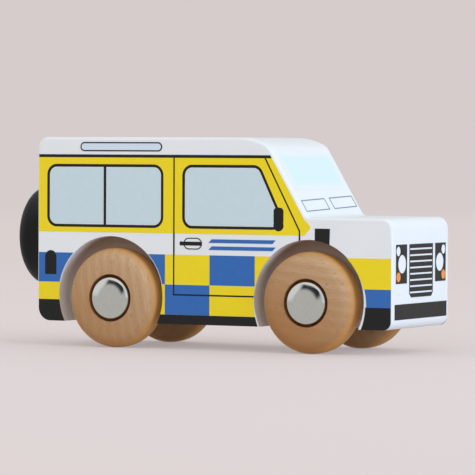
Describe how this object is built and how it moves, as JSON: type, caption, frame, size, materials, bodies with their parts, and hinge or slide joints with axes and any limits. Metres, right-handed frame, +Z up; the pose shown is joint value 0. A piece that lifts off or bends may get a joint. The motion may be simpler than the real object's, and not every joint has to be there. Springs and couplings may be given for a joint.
{
  "type": "toy police car",
  "caption": "Wooden block toy police car, a boxy off-roader with printed check livery, free-rolling beech wheels on steel axles, domed hub caps and a spare wheel on the back.",
  "frame": {"origin": "on the floor, under the middle of the overall length and width", "axes": "+X forward along the car, +Y to the car's left, +Z up"},
  "size_m": [0.1303, 0.0466, 0.0634],
  "materials": {
    "white_painted_wood": "satin white paint on a sanded wooden block",
    "beech": "bare turned beech, waxed",
    "black_painted_wood": "satin black paint on turned wood",
    "axle_steel": "drawn bright steel rod",
    "cap_chrome": "polished domed cap",
    "spring_steel": "pressed spring steel",
    "yellow_ink": "satin printed ink",
    "blue_ink": "satin printed ink",
    "black_ink": "satin printed ink",
    "pale_blue_ink": "satin printed ink",
    "ice_blue_ink": "satin printed ink",
    "orange_ink": "satin printed ink",
    "grey_ink": "satin printed ink",
    "red_ink": "satin printed ink"
  },
  "bodies": {
    "car_body": {"body_block": "white_painted_wood", "spare_wheel": "black_painted_wood", "spare_wheel_dowel": "beech", "yellow_print_right": "yellow_ink", "yellow_print_left": "yellow_ink", "blue_print_right": "blue_ink", "blue_print_left": "blue_ink", "black_print_right": "black_ink", "black_print_left": "black_ink", "window_print_right": "pale_blue_ink", "window_print_left": "pale_blue_ink", "grille_and_bumper_print": "black_ink", "indicator_print": "orange_ink", "windscreen_print": "ice_blue_ink", "air_flap_print": "grey_ink", "rear_bumper_print": "black_ink", "rear_lamp_print": "red_ink"},
    "front_axle_set": {"front_axle": "axle_steel", "hub_cap_front_right": "cap_chrome", "hub_cap_front_left": "cap_chrome", "axle_clip_front_right": "spring_steel", "axle_clip_front_left": "spring_steel"},
    "rear_axle_set": {"rear_axle": "axle_steel", "hub_cap_rear_right": "cap_chrome", "hub_cap_rear_left": "cap_chrome", "axle_clip_rear_right": "spring_steel", "axle_clip_rear_left": "spring_steel"},
    "front_right_wheel": {"wheel_front_right": "beech"},
    "front_left_wheel": {"wheel_front_left": "beech"},
    "rear_right_wheel": {"wheel_rear_right": "beech"},
    "rear_left_wheel": {"wheel_rear_left": "beech"}
  },
  "joints": [
    {"name": "front_axle_turn", "type": "hinge", "parent": "car_body", "child": "front_axle_set", "pos_m": [0.038, 0, 0.015], "axis": [0, 1, 0], "continuous": true},
    {"name": "rear_axle_turn", "type": "hinge", "parent": "car_body", "child": "rear_axle_set", "pos_m": [-0.0278, 0, 0.015], "axis": [0, 1, 0], "continuous": true},
    {"name": "front_right_wheel_turn", "type": "hinge", "parent": "front_axle_set", "child": "front_right_wheel", "pos_m": [0.038, -0.01675, 0.015], "axis": [0, 1, 0], "continuous": true},
    {"name": "front_left_wheel_turn", "type": "hinge", "parent": "front_axle_set", "child": "front_left_wheel", "pos_m": [0.038, 0.01675, 0.015], "axis": [0, 1, 0], "continuous": true},
    {"name": "rear_right_wheel_turn", "type": "hinge", "parent": "rear_axle_set", "child": "rear_right_wheel", "pos_m": [-0.0278, -0.01675, 0.015], "axis": [0, 1, 0], "continuous": true},
    {"name": "rear_left_wheel_turn", "type": "hinge", "parent": "rear_axle_set", "child": "rear_left_wheel", "pos_m": [-0.0278, 0.01675, 0.015], "axis": [0, 1, 0], "continuous": true}
  ]
}
